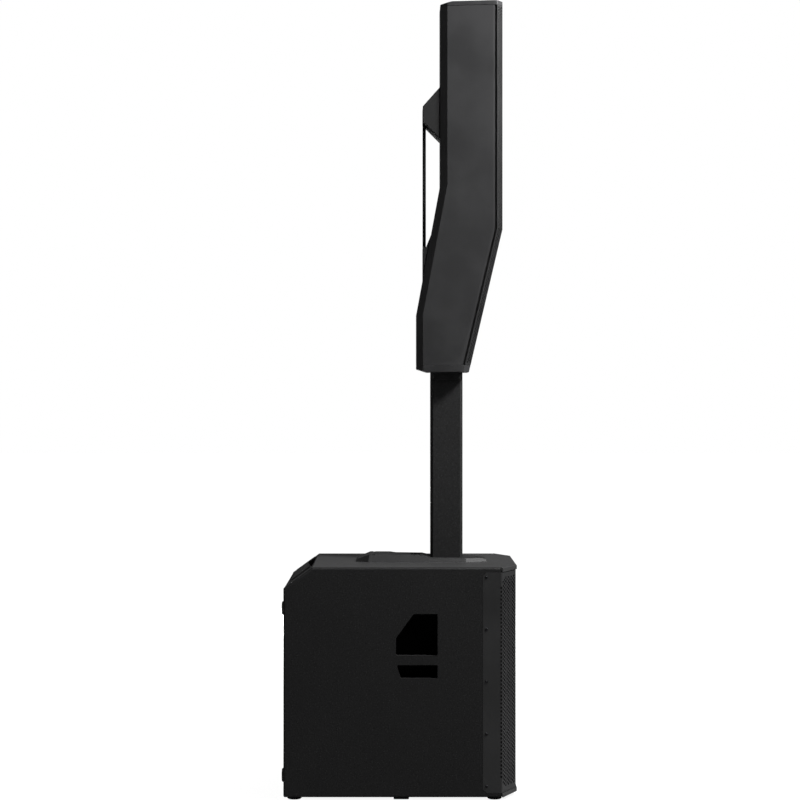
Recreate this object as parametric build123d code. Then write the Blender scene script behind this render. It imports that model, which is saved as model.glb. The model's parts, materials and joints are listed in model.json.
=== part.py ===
from build123d import *
import math
import os

# Column loudspeaker system: a subwoofer cabinet on feet, a rectangular pole that plugs
# into its top, and a bent column array that plugs onto the pole.
# Millimetres. +Z up, -Y is the front, origin on the floor under the middle of the part.

# ---- subwoofer cabinet ----
half_width = 220.0
wood = 15.0
inner_half = half_width - wood
foot_height = 10.0
top_z = 574.0
rear_y = 284.0
side_rear_y = 286.5
side_bevel_z = 523.2
side_corner_radius = 4.0
cap_front_y = -292.0
side_front_y = -250.6
cap_thickness = 10.0
front_flat_half = 143.0
rear_bevel_y = 216.0
rear_bevel_z = 525.0
recess_half = 130.0
recess_depth = 52.0
recess_start = 0.05
recess_end = 0.70
grip_start = 0.36
grip_end = 0.80
grip_foot_start = 0.10
grip_rear_y = 272.5
grip_foot_width = 14.0
grip_rise = 3.5
carry_grip_radius = 2.0
grip_rib_depth = 6.0
edge_radius = 5.0
bottom_inside_z = foot_height + wood
top_inside_z = top_z - wood
rear_wood = 18.0
rear_inside_y = rear_y - rear_wood

# ---- front grille of the cabinet ----
sheet = 1.5
grille_front_y = -289.0
flange_rear_y = -204.0
grille_low_z = 21.0
grille_high_z = 563.0
flange_corner = 9.0
flange_screw_y = -212.5
flange_screw_low_z = 37.0
flange_screw_pitch = 128.5
foam_thickness = 8.0
panel_front_y = side_front_y + 1.2

# ---- side hand holes ----
grip_front_y = -92.7
upper_window = [(-33.6, 460.4), (-92.7, 460.4), (-92.7, 358.3), (9.4, 358.3), (9.4, 401.2)]
lower_window = [(8.2, 334.9), (-92.7, 334.9), (-92.7, 302.5), (-1.9, 302.5)]
window_corner_radius = 3.0
cup_rear_y = 16.0
cup_front_y = -99.0
cup_low_z = 296.0
cup_high_z = 467.0
cup_depth = 58.0
cup_wall = 3.0

# ---- woofer and ports ----
baffle_front_y = -238.0
baffle_thickness = 18.0
woofer_z = 345.0
woofer_flange_r = 156.0
woofer_opening_r = 142.0
surround_inner_r = 122.0
cone_neck_r = 38.0
cone_depth = 55.0
woofer_depth = 110.0
magnet_r = 84.0
magnet_length = 44.0
port_r = 42.0
port_x = 112.0
port_z = 95.0
port_length = 150.0

# ---- amplifier on the rear ----
amp_half = 150.0
amp_low_z = 130.0
amp_high_z = 470.0
socket_strip_high_z = 200.0
amp_rebate_depth = 15.0
amp_sheet = 2.5
amp_lip = 10.0
socket_z = 165.0
inlet_x = -110.0
switch_x = -68.0
switch_half_x = 7.0
switch_half_z = 10.5
input_xs = [-28.0, 8.0]
link_xs = [44.0, 80.0]
knob_x = 120.0
inlet_half_x = 14.0
inlet_half_z = 11.0
link_r = 9.6
link_body_r = 12.0
knob_shaft_r = 3.0
rocker_tilt = 8.0
rocker_pin_r = 1.5
rocker_pivot_depth = 5.0

# ---- pole base and pole ----
pole_half_x = 30.0
pole_rear_y = -78.3
pole_front_y = -160.5
pole_y = (pole_rear_y + pole_front_y) / 2
pole_half_y = (pole_rear_y - pole_front_y) / 2
pole_corner = 6.0
pole_wall = 4.0
pole_foot_z = 490.0
collar_low_z = 1037.5
collar_high_z = 1056.5
collar_corner = 9.0
spigot_half_x = 20.0
spigot_half_y = 28.0
spigot_high_z = 1096.5
slide_gap = 0.3
sleeve_wall = 4.0
base_low_z = top_z
base_peak_z = 593.0
base_half_outline = [(33, -222), (59, -168), (59, 80), (42, 112)]
base_outline = base_half_outline + [(-x, y) for x, y in reversed(base_half_outline)]
base_profile = [
    (-224, 574),
    (114, 574),
    (114, 578.5),
    (76, 593.3),
    (25, 593),
    (10, 590.8),
    (-58, 590),
    (-81, 584.5),
    (-205, 583),
    (-224, 579),
]
base_side_lean = 27.0
latch_rear_y = -30.0
latch_front_y = -50.0
latch_half_x = 17.0
latch_travel = 6.0

# ---- column ----
col_half_rear = 44.0
col_half_side = 55.0
col_half_front = 70.0
col_front_band = 7.0
col_shell = 4.0
baffle_half = 66.0
col_top_z = 2000.0
col_cap_z = 1988.0
col_foot_z = collar_high_z
col_seam_z = 1074.7
front_groove = 6.5
groove_half = 65.0
rim_lip = 1.5
lip_half = 69.5
grille_depth = 14.0
grille_nose_half = 47.5
col_sheet = 1.2
driver_pitch = 108.0
driver_first_z = 1930.0
driver_r = 50.0
driver_cone_r = 38.0
driver_depth = 42.0
upper_drivers = 5
lower_drivers = 3

# stations of the column outline: height, rear face, rear side edge, front side edge
stations = [
    (2000.0, -103.0, -121.0, -241.0),
    (1534.5, -103.0, -121.0, -241.0),
    (1423.0, -82.4, -100.1, -241.0),
    (1204.0, -42.0, -59.0, -189.6),
    (1056.5, -42.0, -59.0, -154.8),
]

grip_outer_y = -58.6
grip_inner_y = -66.8
grip_half_x = 18.0
bracket_half_x = 42.0
top_bracket_zs = [1785.0, 1735.0, 1696.0, 1651.5]
bottom_bracket_zs = [1407.0, 1376.0, 1294.0, 1288.0]

foot_xs = [-180.0, 180.0]
foot_ys = [-234.0, 261.0]
foot_r = 18.0
rear_foot_zs = [58.0, 471.0]
rear_foot_r = 17.0
rear_foot_height = 8.0
skid_y = -3.4
skid_half = 19.0
skid_screw_offset = 24.5

os.makedirs("parts", exist_ok=True)


def block(x0, x1, y0, y1, z0, z1):
    size = (x1 - x0, y1 - y0, z1 - z0)
    return Pos((x0 + x1) / 2, (y0 + y1) / 2, (z0 + z1) / 2) * Box(*size)


def centred(x, half_x, y0, y1, z, half_z):
    """Box centred on X and Z between two depths."""
    return block(x - half_x, x + half_x, y0, y1, z - half_z, z + half_z)


def across(points, x0, x1):
    """Prism with a (Y, Z) outline between two X planes."""
    face = Plane.YZ * make_face(Polyline(*points, close=True))
    return Pos(x0, 0, 0) * extrude(face, amount=x1 - x0, dir=(1, 0, 0))


def upward(points, z0, z1):
    """Prism with an (X, Y) outline between two heights."""
    face = make_face(Polyline(*points, close=True))
    return Pos(0, 0, z0) * extrude(face, amount=z1 - z0, dir=(0, 0, 1))


def rod_x(radius, x0, x1, y, z):
    return Pos((x0 + x1) / 2, y, z) * Rot(0, 90, 0) * Cylinder(radius, x1 - x0)


def rod_y(radius, y0, y1, x, z):
    return Pos(x, (y0 + y1) / 2, z) * Rot(90, 0, 0) * Cylinder(radius, y1 - y0)


def rod_z(radius, z0, z1, x, y):
    return Pos(x, y, (z0 + z1) / 2) * Cylinder(radius, z1 - z0)


def turned_y(points, x, z):
    """Body turned about a front-to-back axis from (radius, Y) points."""
    face = make_face(Polyline(*points, close=True))
    return Pos(x, 0, z) * revolve(face, Axis.Y)


def mirrored(shape):
    return mirror(shape, about=Plane.YZ)


def group(solids):
    flat = []
    for solid in solids:
        flat += solid.solids()
    return Compound(children=flat)


def save(node, shape):
    export_step(shape, f"parts/{node}.step")


# ---------------------------------------------------------------- cabinet


def flange_outline(margin):
    rear = flange_rear_y + margin
    low = grille_low_z - margin
    high = grille_high_z + margin
    cut = flange_corner
    return [
        (side_front_y, low),
        (rear - cut, low),
        (rear, low + cut),
        (rear, high - cut),
        (rear - cut, high),
        (side_front_y, high),
    ]


def side_panel():
    outline = [
        (panel_front_y, foot_height),
        (side_rear_y, foot_height),
        (side_rear_y, side_bevel_z),
        (rear_bevel_y, top_z),
        (panel_front_y, top_z),
    ]
    panel = across(outline, inner_half, half_width)
    rear_corners = [e for e in panel.edges().filter_by(Axis.X) if e.center().Y > side_rear_y - 1]
    panel = fillet(rear_corners, side_corner_radius)
    outer_edges = panel.faces().sort_by(Axis.X)[-1].edges()
    behind_front = outer_edges.filter_by(lambda e: e.center().Y > panel_front_y + 1)
    rounded = behind_front.filter_by(lambda e: e.center().Z > foot_height + 1)
    panel = fillet(rounded, edge_radius)
    panel -= across(flange_outline(0.5), half_width - sheet, half_width + 1)
    for window in (upper_window, lower_window):
        hole = across(window, inner_half - 1, half_width + 1)
        upright = hole.edges().filter_by(Axis.X)
        panel -= fillet(upright, window_corner_radius)
    for screw_z in flange_screw_zs():
        panel -= rod_x(1.6, half_width - 12, half_width, flange_screw_y, screw_z)
    return panel


def flange_screw_zs():
    return [flange_screw_low_z + i * flange_screw_pitch for i in range(5)]


def cap_outline():
    return [
        (inner_half, side_front_y),
        (half_width, side_front_y),
        (half_width, side_front_y - 3),
        (front_flat_half, cap_front_y),
        (-front_flat_half, cap_front_y),
        (-half_width, side_front_y - 3),
        (-half_width, side_front_y),
        (-inner_half, side_front_y),
    ]


def bottom_panel():
    panel = block(-inner_half, inner_half, baffle_front_y, rear_y, foot_height, bottom_inside_z)
    cap_top_z = foot_height + cap_thickness
    ledge = block(-inner_half, inner_half, side_front_y, baffle_front_y, foot_height, cap_top_z)
    nose = upward(cap_outline(), foot_height, cap_top_z)
    return panel + ledge + nose


def top_panel():
    panel = block(-inner_half, inner_half, baffle_front_y, rear_bevel_y, top_inside_z, top_z)
    ledge = block(-inner_half, inner_half, side_front_y, baffle_front_y, top_z - cap_thickness, top_z)
    nose = upward(cap_outline(), top_z - cap_thickness, top_z)
    panel = panel + ledge + nose
    reach_x = pole_half_x + slide_gap + sleeve_wall
    reach_y = pole_half_y + slide_gap + sleeve_wall
    panel -= block(-reach_x, reach_x, pole_y - reach_y, pole_y + reach_y, top_inside_z - 1, top_z + 1)
    handle_well = bevel_outline(recess_start, recess_end, -5, recess_depth)
    return panel - across(handle_well, -recess_half, recess_half)


def bevel_point(along, inward):
    """Point on the sloping rear corner: along 0 at its top, 1 at its bottom, inward into the box."""
    span_y = rear_y - rear_bevel_y
    span_z = top_z - rear_bevel_z
    length = math.hypot(span_y, span_z)
    y = rear_bevel_y + along * span_y - inward * span_z / length
    z = top_z - along * span_z - inward * span_y / length
    return (y, z)


def rear_corner_panel():
    outline = [
        (rear_bevel_y, top_z),
        (rear_y, rear_bevel_z),
        (rear_inside_y, rear_bevel_z),
        (rear_bevel_y, top_inside_z),
    ]
    panel = across(outline, -inner_half, inner_half)
    slot = bevel_outline(recess_start, recess_end, -2, 40)
    return panel - across(slot, -recess_half, recess_half)


def cup_inset():
    """The cup's wall as a share of the sloping corner's length."""
    return cup_wall / math.hypot(rear_y - rear_bevel_y, top_z - rear_bevel_z)


def rear_handle_cup():
    cup = across(bevel_outline(recess_start, recess_end, 0, recess_depth), -recess_half, recess_half)
    inset = cup_inset()
    hollow = bevel_outline(recess_start + inset, recess_end - inset, -1, recess_depth - cup_wall)
    return cup - across(hollow, -recess_half + cup_wall, recess_half - cup_wall)


def rear_carry_handle():
    """Grip over the recess: a low bar with two feet on the sloping panel and a rib inside the cup."""
    bar = bevel_bar(grip_start, recess_half + grip_foot_width)
    outward = Vector(0, top_z - rear_bevel_z, rear_y - rear_bevel_y)
    outer_edges = bar.edges().filter_by(Axis.X).sort_by(lambda e: e.center().dot(outward))[-2:]
    bar = fillet(outer_edges, carry_grip_radius)
    feet = bevel_bar(grip_foot_start, recess_half + grip_foot_width)
    feet -= across(bevel_outline(0, 1, -grip_rise - 5, 5), -recess_half, recess_half)
    beyond = block(-half_width, half_width, grip_rear_y, rear_y + 10, rear_bevel_z - 20, top_z)
    inside_cup = recess_half - cup_wall
    rib_outline = bevel_outline(grip_start, recess_end - cup_inset(), 0, grip_rib_depth)
    rib = across(rib_outline, -inside_cup, inside_cup)
    return bar + feet + rib - beyond


def bevel_outline(start, end, low, high):
    """(Y, Z) outline on the sloping corner between two stations and two depths."""
    corners = [(start, low), (end, low), (end, high), (start, high)]
    return [bevel_point(along, inward) for along, inward in corners]


def bevel_bar(start, reach):
    return across(bevel_outline(start, grip_end, -grip_rise, 0), -reach, reach)


def rear_panel():
    panel = block(-inner_half, inner_half, rear_inside_y, rear_y, bottom_inside_z, rear_bevel_z)
    through = block(
        -amp_half + amp_lip,
        amp_half - amp_lip,
        rear_inside_y - 1,
        rear_y,
        amp_low_z + amp_lip,
        amp_high_z - amp_lip,
    )
    rebate = block(-amp_half, amp_half, rear_y - amp_rebate_depth, rear_y + 1, amp_low_z, amp_high_z)
    panel = panel - through - rebate
    for x, z in amp_screw_places():
        panel -= rod_y(2.0, rear_inside_y - 1, plate_back_y() + 1, x, z)
    return panel


def front_baffle():
    back = baffle_front_y + baffle_thickness
    panel = block(-inner_half, inner_half, baffle_front_y, back, bottom_inside_z, top_inside_z)
    panel -= rod_y(woofer_opening_r, baffle_front_y - 1, back + 1, 0, woofer_z)
    for x in (-port_x, port_x):
        panel -= rod_y(port_r, baffle_front_y - 1, back + 1, x, port_z)
    return panel


def cabinet_brace():
    """Window brace across the cabinet between the driver and the amplifier."""
    frame = block(-inner_half, inner_half, 120, 135, bottom_inside_z, top_inside_z)
    for x in (-105, 105):
        for z in (165, 400):
            hole = block(x - 75, x + 75, 119, 136, z - 95, z + 95)
            upright = hole.edges().filter_by(Axis.Y)
            frame -= fillet(upright, 20)
    return frame


def bass_ports():
    ports = []
    for x in (-port_x, port_x):
        mouth = baffle_front_y
        outline = [
            (port_r - 3, mouth),
            (port_r - 3, mouth + port_length),
            (port_r, mouth + port_length),
            (port_r, mouth),
        ]
        ports.append(turned_y(outline, x, port_z))
    return group(ports)


def hand_cup():
    cup = block(inner_half - cup_depth, inner_half, cup_front_y, cup_rear_y, cup_low_z, cup_high_z)
    cup -= block(
        inner_half - cup_depth + cup_wall,
        inner_half + 1,
        cup_front_y + cup_wall,
        cup_rear_y - cup_wall,
        cup_low_z + cup_wall,
        cup_high_z - cup_wall,
    )
    return cup


def grille_plan(inset):
    """Outer line of the wrapped front sheet seen from above, moved inward by inset."""
    slope = math.atan2(side_front_y - grille_front_y, half_width - front_flat_half)
    shift = inset * math.tan(slope / 2)
    turn = inset * math.tan((math.pi / 2 - slope) / 2)
    right = [
        (half_width - inset, flange_rear_y),
        (half_width - inset, side_front_y + turn),
        (front_flat_half - shift, grille_front_y + inset),
    ]
    left = [(-x, y) for x, y in reversed(right)]
    return right + left


def front_grille():
    outline = grille_plan(0) + list(reversed(grille_plan(sheet)))
    grille = upward(outline, grille_low_z, grille_high_z)
    keep = across(
        [(grille_front_y - 1, grille_low_z)]
        + flange_outline(0)[1:5]
        + [(grille_front_y - 1, grille_high_z)],
        -half_width - 1,
        half_width + 1,
    )
    grille = grille & keep
    for screw_z in flange_screw_zs():
        hole = rod_x(2.2, half_width - 4, half_width + 1, flange_screw_y, screw_z)
        grille = grille - hole - mirrored(hole)
    return grille


def grille_foam():
    low = bottom_inside_z + 2
    high = top_inside_z - 2
    inner_line = grille_plan(sheet + foam_thickness)[1:5]
    outer_line = grille_plan(sheet)[1:5]
    pad = upward(outer_line + list(reversed(inner_line)), low, high)
    return pad & block(-inner_half + 1, inner_half - 1, grille_front_y, baffle_front_y, low, high)


def screw_x(z):
    head = rod_x(3.6, half_width, half_width + 1.6, flange_screw_y, z)
    head = fillet(head.edges().sort_by(Axis.X)[-1], 0.8)
    shank = rod_x(1.6, half_width - 12, half_width, flange_screw_y, z)
    return head + shank


def grille_screws():
    screws = []
    for screw_z in flange_screw_zs():
        screw = screw_x(screw_z)
        screws += [screw, mirrored(screw)]
    return group(screws)


# ---------------------------------------------------------------- woofer


def woofer_basket():
    front = baffle_front_y - 5
    ring = turned_y(
        [
            (surround_inner_r + 14, front),
            (woofer_flange_r, front),
            (woofer_flange_r, baffle_front_y),
            (woofer_opening_r - 2, baffle_front_y),
            (magnet_r - 6, baffle_front_y + woofer_depth),
            (cone_neck_r + 2, baffle_front_y + woofer_depth),
            (cone_neck_r + 2, baffle_front_y + woofer_depth - 3),
            (magnet_r - 9, baffle_front_y + woofer_depth - 3),
            (surround_inner_r + 14, baffle_front_y + 3),
        ],
        0,
        woofer_z,
    )
    for i in range(6):
        window = block(-24, 24, baffle_front_y + 26, baffle_front_y + woofer_depth - 14, 60, 170)
        ring -= Pos(0, 0, woofer_z) * Rot(0, 60 * i + 30, 0) * window
    for x, z in woofer_screw_places():
        ring -= rod_y(2.6, front - 1, baffle_front_y + 1, x, z)
    return ring


def woofer_screw_places():
    reach = woofer_flange_r - 7
    turns = [math.radians(22.5 + 45 * i) for i in range(8)]
    return [(reach * math.cos(t), woofer_z + reach * math.sin(t)) for t in turns]


def woofer_screws():
    front = baffle_front_y - 5
    screws = []
    for x, z in woofer_screw_places():
        head = rod_y(4.5, front - 3, front, x, z)
        shank = rod_y(2.5, front, baffle_front_y, x, z)
        screws.append(head + shank)
    return group(screws)


def woofer_surround():
    """Half-roll rubber ring between the frame and the cone."""
    front = baffle_front_y - 2
    outer = surround_inner_r + 13.95
    inner = surround_inner_r + 0.3
    middle = (outer + inner) / 2
    bulge = (outer - inner) / 2
    arc = ThreePointArc((inner, front), (middle, front - bulge), (outer, front))
    base = Polyline((outer, front), (outer, front + 2), (inner, front + 2), (inner, front))
    roll = revolve(make_face(arc + base), Axis.Y)
    return Pos(0, 0, woofer_z) * roll


def woofer_cone():
    rim = baffle_front_y - 1
    neck = rim + cone_depth
    wall = 2.0
    cone = turned_y(
        [
            (surround_inner_r, rim),
            (surround_inner_r, rim + wall),
            (cone_neck_r, neck + wall),
            (cone_neck_r - 1.5, neck + 52),
            (cone_neck_r - 3, neck + 52),
            (cone_neck_r - 3, neck),
        ],
        0,
        woofer_z,
    )
    cap_r = 46.0
    cap_y = neck - 8
    arc = ThreePointArc((0, cap_y - 14), (cap_r * 0.7, cap_y - 7), (cap_r + 4, cap_y + 3))
    back = Polyline((cap_r + 4, cap_y + 3), (cone_neck_r - 3, neck + 3), (0, neck + 3), (0, cap_y - 14))
    dome = Pos(0, 0, woofer_z) * revolve(make_face(arc + back), Axis.Y)
    return cone + dome


def woofer_magnet():
    front = baffle_front_y + woofer_depth
    body = rod_y(magnet_r, front, front + magnet_length, 0, woofer_z)
    gap = turned_y(
        [
            (cone_neck_r - 5, front - 1),
            (cone_neck_r + 1, front - 1),
            (cone_neck_r + 1, front + 30),
            (cone_neck_r - 5, front + 30),
        ],
        0,
        woofer_z,
    )
    return body - gap


# ---------------------------------------------------------------- amplifier


def plate_back_y():
    return rear_y - amp_rebate_depth


def plate_face_y():
    return plate_back_y() + amp_sheet


def amp_plate():
    plate = block(-amp_half, amp_half, plate_back_y(), plate_face_y(), socket_strip_high_z, amp_high_z)
    for x, z in amp_screw_places():
        if z > socket_strip_high_z:
            plate -= rod_y(2.1, plate_back_y() - 1, plate_face_y() + 1, x, z)
    return plate


def amp_screw_places():
    xs = [-amp_half + 6, -50, 50, amp_half - 6]
    places = [(x, amp_high_z - 6) for x in xs] + [(x, amp_low_z + 6) for x in xs]
    sides = [(x, z) for x in (xs[0], xs[-1]) for z in (socket_strip_high_z + 20, 300, 385)]
    return places + sides


def amp_screws():
    screws = []
    for x, z in amp_screw_places():
        head = rod_y(3.8, plate_face_y(), plate_face_y() + 2.2, x, z)
        shank = rod_y(2.0, rear_inside_y + 0.5, plate_face_y(), x, z)
        screws.append(head + shank)
    return group(screws)


def connector_plate():
    back = plate_back_y()
    face = plate_face_y()
    plate = block(-amp_half, amp_half, back, face, amp_low_z, socket_strip_high_z)
    plate -= centred(inlet_x, inlet_half_x, back - 1, face + 1, socket_z, inlet_half_z)
    plate -= centred(switch_x, switch_half_x, back - 1, face + 1, socket_z, switch_half_z)
    for x in input_xs + link_xs:
        plate -= rod_y(link_body_r, back - 1, face + 1, x, socket_z)
    plate -= rod_y(knob_shaft_r + 1, back - 1, face + 1, knob_x, socket_z)
    for x, z in amp_screw_places():
        if z < socket_strip_high_z:
            plate -= rod_y(2.1, back - 1, face + 1, x, z)
    return plate


def power_inlet():
    face = plate_face_y()
    body = centred(inlet_x, inlet_half_x, face - 22, face, socket_z, inlet_half_z)
    rim = centred(inlet_x, 16, face, face + 2, socket_z, 13)
    cavity = centred(inlet_x, 12, face - 18, face + 3, socket_z, 8.5)
    return body + rim - cavity


def inlet_pins():
    face = plate_face_y()
    pins = []
    for dx, dz in ((-7, 2), (7, 2), (0, -2)):
        x = inlet_x + dx
        z = socket_z + dz
        pins.append(centred(x, 1, face - 18, face - 3, z, 2))
    return group(pins)


def socket_flange(x):
    flange = centred(x, 13, plate_face_y(), plate_face_y() + 2, socket_z, 15.5)
    return fillet(flange.edges().filter_by(Axis.Y), 3.0)


def link_sockets():
    """Output sockets: a round well in a square flange."""
    face = plate_face_y()
    sockets = []
    for x in link_xs:
        flange = socket_flange(x)
        barrel = rod_y(link_body_r, face - 20, face, x, socket_z)
        well = rod_y(link_r, face - 16, face + 3, x, socket_z)
        sockets.append(flange + barrel - well)
    return group(sockets)


def link_pins():
    face = plate_face_y()
    pins = []
    for x in link_xs:
        for turn in (30, 150, 270):
            px = x + 5 * math.cos(math.radians(turn))
            pz = socket_z + 5 * math.sin(math.radians(turn))
            pins.append(rod_y(1.2, face - 16, face - 3, px, pz))
    return group(pins)


def input_sockets():
    """Input sockets: a solid insert with three small contact holes."""
    face = plate_face_y()
    sockets = []
    for x in input_xs:
        flange = socket_flange(x)
        barrel = rod_y(link_body_r, face - 20, face, x, socket_z)
        ring = turned_y(
            [(7.8, face - 12), (9.6, face - 12), (9.6, face + 3), (7.8, face + 3)],
            x,
            socket_z,
        )
        socket = flange + barrel - ring
        for turn in (90, 210, 330):
            px = x + 4.6 * math.cos(math.radians(turn))
            pz = socket_z + 4.6 * math.sin(math.radians(turn))
            socket -= rod_y(1.5, face - 12, face + 3, px, pz)
        sockets.append(socket)
    return group(sockets)


def power_switch_frame():
    face = plate_face_y()
    body = centred(switch_x, switch_half_x, face - 16, face, socket_z, switch_half_z)
    rim = centred(switch_x, switch_half_x + 2, face, face + 1.5, socket_z, switch_half_z + 2)
    well = centred(switch_x, 5.5, face - 10, face + 2, socket_z, 9)
    pivot_y = face - rocker_pivot_depth
    pivot_bore = rod_x(rocker_pin_r + 0.05, switch_x - 6.6, switch_x + 6.6, pivot_y, socket_z)
    return body + rim - well - pivot_bore


def power_switch_rocker():
    """Rocker with a shallow V face, turning about a crosswise axis behind the plate."""
    face = plate_face_y()
    outline = [
        (face - 5, socket_z - 7.5),
        (face + 1.8, socket_z - 8),
        (face + 0.4, socket_z),
        (face + 1.8, socket_z + 8),
        (face - 5, socket_z + 7.5),
        (face - 8, socket_z),
    ]
    rocker = across(outline, switch_x - 5.2, switch_x + 5.2)
    rocker += rod_x(rocker_pin_r, switch_x - 6.5, switch_x + 6.5, face - rocker_pivot_depth, socket_z)
    pivot = Pos(0, face - rocker_pivot_depth, socket_z)
    return pivot * Rot(-rocker_tilt, 0, 0) * pivot.inverse() * rocker


def level_knob():
    face = plate_face_y()
    skirt = rod_y(9.5, face + 0.4, face + 9, knob_x, socket_z)
    skirt = chamfer(skirt.edges().sort_by(Axis.Y)[-1], 1.2)
    for i in range(12):
        turn = math.radians(30 * i)
        groove_x = knob_x + 9.8 * math.cos(turn)
        groove_z = socket_z + 9.8 * math.sin(turn)
        skirt -= rod_y(1.0, face, face + 10, groove_x, groove_z)
    shaft = rod_y(knob_shaft_r, face - 9, face + 1, knob_x, socket_z)
    return skirt + shaft


def level_control():
    """Rotary control body behind the plate, with the bearing that the knob's shaft turns in."""
    back = plate_back_y()
    body = block(knob_x - 9, knob_x + 9, back - 12, back, socket_z - 9, socket_z + 9)
    bore = rod_y(knob_shaft_r + 0.05, back - 8, back + 1, knob_x, socket_z)
    return body - bore


def amp_heatsink():
    face = plate_face_y()
    base = block(-110, 110, face, face + 3, 225, 430)
    fins = []
    for i in range(15):
        x = -105 + i * 15
        fins.append(block(x - 1.25, x + 1.25, face + 2, face + 11, 225, 430))
    return base + fins


def amp_board():
    back = plate_back_y()
    return block(-120, 120, back - 14, back - 12, 230, 440)


def amp_board_posts():
    back = plate_back_y()
    return group([rod_y(4, back - 12, back, x, z) for x in (-112, 112) for z in (238, 432)])


def amp_components():
    """Toroid transformer, four capacitors and the power stage's block on the board."""
    back = plate_back_y() - 14
    core = rod_y(38, back - 42, back, -60, 330)
    core -= rod_y(12, back - 43, back + 1, -60, 330)
    shapes = [core]
    for i in range(4):
        shapes.append(rod_y(12, back - 34, back, 20 + 26 * i, 395))
    shapes.append(block(5, 110, back - 22, back, 262, 330))
    return group(shapes)


# ---------------------------------------------------------------- pole base and pole


def pole_outline(grow, corner):
    hx = pole_half_x + grow
    hy = pole_half_y + grow
    return [
        (hx, pole_y - hy + corner),
        (hx, pole_y + hy - corner),
        (hx - corner, pole_y + hy),
        (-hx + corner, pole_y + hy),
        (-hx, pole_y + hy - corner),
        (-hx, pole_y - hy + corner),
        (-hx + corner, pole_y - hy),
        (hx - corner, pole_y - hy),
    ]


def pole_base():
    foot = Pos(0, 0, base_low_z) * make_face(Polyline(*base_outline, close=True))
    body = extrude(foot, amount=base_peak_z + 1 - base_low_z, taper=base_side_lean)
    body = body & across(base_profile, -60, 60)
    body -= upward(pole_outline(slide_gap, pole_corner), base_low_z - 1, base_peak_z + 5)
    pocket_rear = latch_rear_y + 1
    pocket_half_x = latch_half_x + 1
    pocket_front = pole_rear_y + slide_gap
    body -= block(-pocket_half_x, pocket_half_x, pocket_front, pocket_rear, base_low_z, base_low_z + 11.5)
    slot_low_z = base_low_z + 10
    slot_front = latch_front_y - 1
    body -= block(-pocket_half_x, pocket_half_x, slot_front, pocket_rear, slot_low_z, base_peak_z + 5)
    for x, y in base_screw_places():
        body -= rod_z(4.5, base_low_z + 4, base_peak_z + 5, x, y)
        body -= rod_z(2.2, base_low_z - 1, base_low_z + 5, x, y)
    return body


def base_screw_places():
    return [(-46, 66), (46, 66), (-46, -60), (46, -60), (0, -196)]


def pole_base_screws():
    screws = []
    for x, y in base_screw_places():
        head = rod_z(4.2, base_low_z + 4, base_low_z + 8, x, y)
        shank = rod_z(2.0, base_low_z, base_low_z + 4, x, y)
        screws.append(head + shank)
    return group(screws)


def release_latch():
    """Finger slide: a tab in the slot on a tongue that runs forward to the pole."""
    reach = pole_rear_y + slide_gap + 0.3
    tongue_rear = latch_rear_y - latch_travel - 0.5
    tongue = block(-latch_half_x, latch_half_x, reach, tongue_rear, base_low_z + 0.3, base_low_z + 10)
    tab_front = latch_front_y + 0.5
    tab = block(-latch_half_x, latch_half_x, tab_front, tab_front + 8, base_low_z + 8, base_low_z + 15)
    return tongue + tab


def latch_spring():
    """Flat spring block between the latch and the base's rear wall."""
    front = latch_rear_y - latch_travel - 0.5
    return block(-6, 6, front, latch_rear_y + 1, base_low_z + 3, base_low_z + 7)


def pole_socket():
    low = pole_foot_z - 4
    outer = upward(pole_outline(slide_gap + sleeve_wall, 0.01), low, base_low_z)
    inner = upward(pole_outline(slide_gap, pole_corner), pole_foot_z, base_low_z + 1)
    return outer - inner


def pole_tube():
    outer = upward(pole_outline(0, pole_corner), pole_foot_z + 4, collar_low_z)
    inner = upward(pole_outline(-pole_wall, pole_corner - 1), pole_foot_z, collar_low_z + 1)
    return outer - inner


def pole_foot():
    plate = upward(pole_outline(0, pole_corner), pole_foot_z, pole_foot_z + 4)
    plug = upward(pole_outline(-pole_wall, pole_corner - 1), pole_foot_z + 4, pole_foot_z + 24)
    return plate + plug


def pole_collar():
    collar = upward(pole_outline(0, collar_corner), collar_low_z, collar_high_z)
    plug = upward(pole_outline(-pole_wall, pole_corner - 1), collar_low_z - 20, collar_low_z)
    spigot = block(
        -spigot_half_x,
        spigot_half_x,
        pole_y - spigot_half_y,
        pole_y + spigot_half_y,
        collar_high_z,
        spigot_high_z,
    )
    spigot = chamfer(spigot.faces().sort_by(Axis.Z)[-1].edges(), 3.0)
    return collar + plug + spigot


def pole_contacts():
    pads = []
    for x in (-12, -4, 4, 12):
        pads.append(block(x - 2, x + 2, pole_y - 12, pole_y + 12, spigot_high_z, spigot_high_z + 0.6))
    return group(pads)


# ---------------------------------------------------------------- column


def station_at(z):
    """Outline depths at a height, read off straight lines between the stations."""
    for high, low in zip(stations, stations[1:]):
        if low[0] <= z <= high[0]:
            share = (high[0] - z) / (high[0] - low[0])
            return [a + share * (b - a) for a, b in zip(high[1:], low[1:])]
    raise ValueError(z)


def column_section(z, inset):
    rear, side, front = station_at(z)
    rear -= inset
    half_rear = col_half_rear - inset * 0.7
    half_side = col_half_side - inset
    half_front = col_half_front - inset
    side -= inset * 0.5
    return [
        (half_front, front),
        (half_front, front + col_front_band),
        (half_side, side),
        (half_rear, rear),
        (-half_rear, rear),
        (-half_side, side),
        (-half_front, front + col_front_band),
        (-half_front, front),
    ]


def column_levels(low, high):
    inside = [s[0] for s in stations if low < s[0] < high]
    return [low] + sorted(inside) + [high]


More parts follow.
